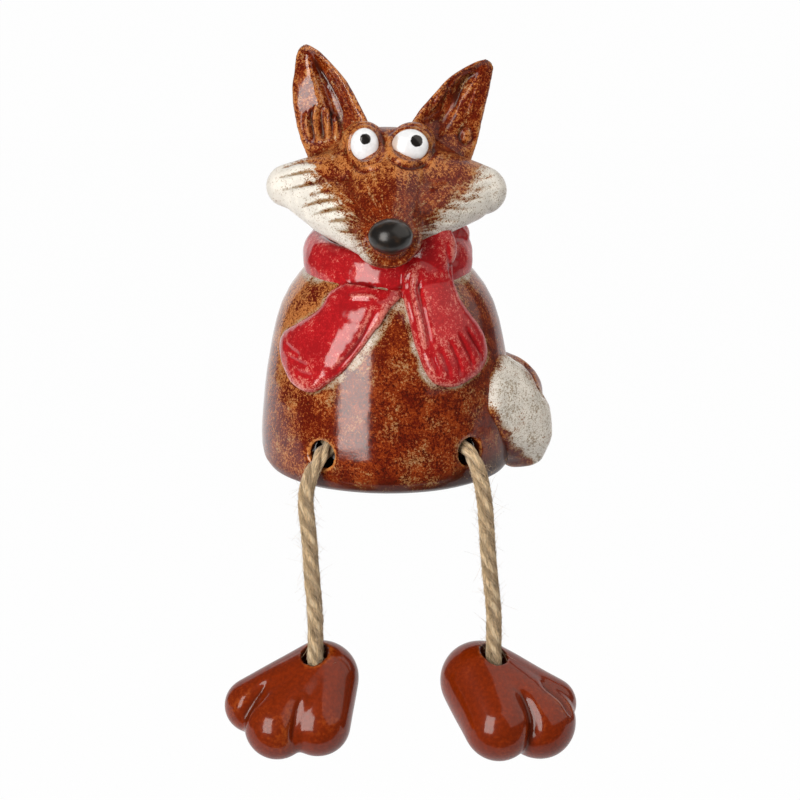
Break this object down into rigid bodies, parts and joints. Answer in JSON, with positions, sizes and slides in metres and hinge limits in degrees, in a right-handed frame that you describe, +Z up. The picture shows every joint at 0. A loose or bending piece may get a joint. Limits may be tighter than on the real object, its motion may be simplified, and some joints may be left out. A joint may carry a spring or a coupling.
{
  "type": "fox figurine",
  "caption": "Glazed pottery fox in a red scarf that sits on a shelf edge, with jute cord legs hanging down to loose pottery paws.",
  "frame": {"origin": "centre of the flat foot that stands on the shelf", "axes": "+Z up, -Y the way the fox faces, +X to the fox's left"},
  "size_m": [0.1072, 0.1009, 0.2143],
  "materials": {
    "brown_glaze": "gloss, mottled",
    "cream_glaze": "gloss, speckled",
    "white_glaze": "gloss",
    "black_glaze": "gloss",
    "red_glaze": "gloss, mottled",
    "amber_glaze": "gloss",
    "jute": "twisted fibre"
  },
  "bodies": {
    "body": {"body_shell": "brown_glaze", "head_shell": "brown_glaze", "right_ear": "brown_glaze", "left_ear": "brown_glaze", "tail": "cream_glaze", "right_eye": "white_glaze", "left_eye": "white_glaze", "nose": "black_glaze", "scarf_band": "red_glaze", "scarf_right_end": "red_glaze", "scarf_left_end": "red_glaze"},
    "right_hip": {"right_hip_knot": "jute"},
    "right_leg": {"right_cord": "jute"},
    "right_ankle": {"right_paw_knot": "jute"},
    "right_foot": {"right_paw": "amber_glaze"},
    "left_hip": {"left_hip_knot": "jute"},
    "left_leg": {"left_cord": "jute"},
    "left_ankle": {"left_paw_knot": "jute"},
    "left_foot": {"left_paw": "amber_glaze"}
  },
  "joints": [
    {"name": "right_leg_sway", "type": "hinge", "parent": "body", "child": "right_hip", "pos_m": [-0.01989, -0.03311, 0.0125], "axis": [0, 1, 0], "range_deg": [-8, 30], "deforming": ["right_cord"]},
    {"name": "right_leg_swing", "type": "hinge", "parent": "right_hip", "child": "right_leg", "pos_m": [-0.01989, -0.03311, 0.0125], "axis": [-1, 0, 0], "range_deg": [0, 75], "deforming": ["right_cord"]},
    {"name": "right_paw_tilt", "type": "hinge", "parent": "right_leg", "child": "right_ankle", "pos_m": [-0.02195, -0.03919, -0.047], "axis": [-1, 0, 0], "range_deg": [-30, 40], "deforming": ["right_cord"]},
    {"name": "right_paw_turn", "type": "hinge", "parent": "right_ankle", "child": "right_foot", "pos_m": [-0.02195, -0.03919, -0.047], "axis": [0, 0, 1], "range_deg": [-60, 25], "deforming": ["right_cord"]},
    {"name": "left_leg_sway", "type": "hinge", "parent": "body", "child": "left_hip", "pos_m": [0.02483, -0.02959, 0.0125], "axis": [0, 1, 0], "range_deg": [-30, 8], "deforming": ["left_cord"]},
    {"name": "left_leg_swing", "type": "hinge", "parent": "left_hip", "child": "left_leg", "pos_m": [0.02483, -0.02959, 0.0125], "axis": [-1, 0, 0], "range_deg": [0, 75], "deforming": ["left_cord"]},
    {"name": "left_paw_tilt", "type": "hinge", "parent": "left_leg", "child": "left_ankle", "pos_m": [0.03218, -0.03164, -0.047], "axis": [-1, 0, 0], "range_deg": [-30, 40], "deforming": ["left_cord"]},
    {"name": "left_paw_turn", "type": "hinge", "parent": "left_ankle", "child": "left_foot", "pos_m": [0.03218, -0.03164, -0.047], "axis": [0, 0, 1], "range_deg": [-25, 60], "deforming": ["left_cord"]}
  ]
}
